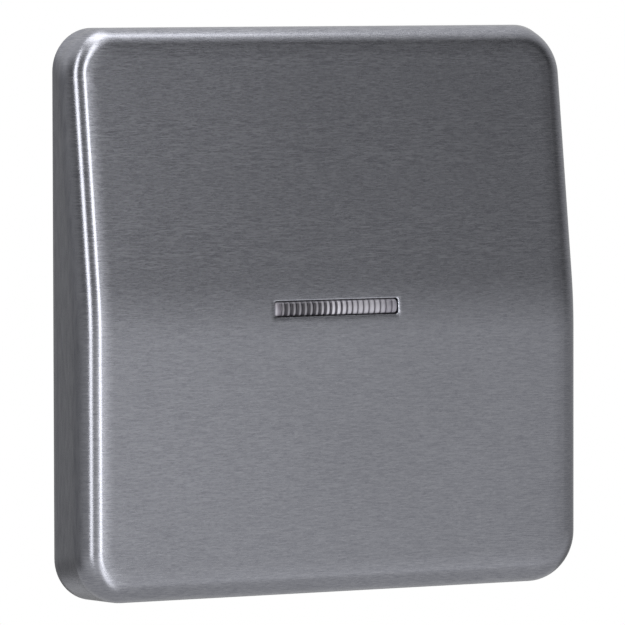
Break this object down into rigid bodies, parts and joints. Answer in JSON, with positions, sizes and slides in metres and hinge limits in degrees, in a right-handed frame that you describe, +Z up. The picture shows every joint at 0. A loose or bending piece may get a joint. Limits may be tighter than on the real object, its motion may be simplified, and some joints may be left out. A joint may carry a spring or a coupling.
{
  "type": "pushbutton switch",
  "caption": "Flush-mounted pushbutton switch: square brushed steel button with a ribbed indicator lens, tilting on a wall-box insert with spring contacts.",
  "frame": {"origin": "middle of the wall-screw pattern in the support ring's back face, on the wall plane", "axes": "+Z up, +X right for someone facing the button, -Y out of the wall towards them, +Y into the wall"},
  "size_m": [0.07, 0.0339, 0.07],
  "materials": {
    "brushed_stainless": "fine horizontal brushing, satin",
    "clear_lens": "clear ribbed moulded polycarbonate",
    "carrier_plastic": "moulded, fine matte",
    "zinc_plated_steel": "bright zinc plating on punched steel",
    "cover_plastic": "moulded light grey, matte",
    "housing_plastic": "moulded off-white, matte",
    "contact_bronze": "rolled bronze strip",
    "contact_silver": "silver alloy, satin",
    "spring_steel": "drawn stainless spring steel",
    "rail_brass": "punched brass strip",
    "lever_plastic": "moulded orange, satin gloss",
    "lamp_glass": "clear domed lamp"
  },
  "bodies": {
    "insert": {"support_ring": "zinc_plated_steel", "insert_cover": "cover_plastic", "insert_housing": "housing_plastic", "housing_screws": "zinc_plated_steel", "fixed_contact_tips": "contact_silver", "return_spring": "spring_steel", "plunger_spring": "spring_steel", "terminal_rail_left": "rail_brass", "terminal_rail_right": "rail_brass", "clamp_springs_left": "spring_steel", "clamp_springs_right": "spring_steel", "lamp_holder": "housing_plastic", "indicator_lamp": "lamp_glass", "lamp_leads": "rail_brass"},
    "button": {"steel_cap": "brushed_stainless", "indicator_lens": "clear_lens", "cap_carrier": "carrier_plastic", "rocker": "carrier_plastic"},
    "contact_plunger": {"plunger": "carrier_plastic", "contact_bridge": "contact_bronze", "bridge_contact_tips": "contact_silver", "contact_spring": "spring_steel"},
    "release_left": {"release_lever_left": "lever_plastic"},
    "release_right": {"release_lever_right": "lever_plastic"}
  },
  "joints": [
    {"name": "button_tilt", "type": "hinge", "parent": "insert", "child": "button", "pos_m": [0, -0.0032, 0], "axis": [1, 0, 0], "range_deg": [0, 5], "stiffness_Nm_per_rad": 0.6, "springref_deg": -5.16, "deforming": ["return_spring"]},
    {"name": "plunger_slide", "type": "slide", "parent": "insert", "child": "contact_plunger", "axis": [0, 1, 0], "range_m": [0, 0.00125], "deforming": ["plunger_spring"]},
    {"name": "release_left_press", "type": "slide", "parent": "insert", "child": "release_left", "axis": [0, -1, 0], "range_m": [0, 0.0015], "stiffness_N_per_m": 1500, "springref_m": -0.0008, "deforming": ["clamp_springs_left"]},
    {"name": "release_right_press", "type": "slide", "parent": "insert", "child": "release_right", "axis": [0, -1, 0], "range_m": [0, 0.0015], "stiffness_N_per_m": 1500, "springref_m": -0.0008, "deforming": ["clamp_springs_right"]}
  ],
  "couplings": [
    {"joint": "plunger_slide", "follows": "button_tilt", "m_per_rad": 0.014}
  ]
}
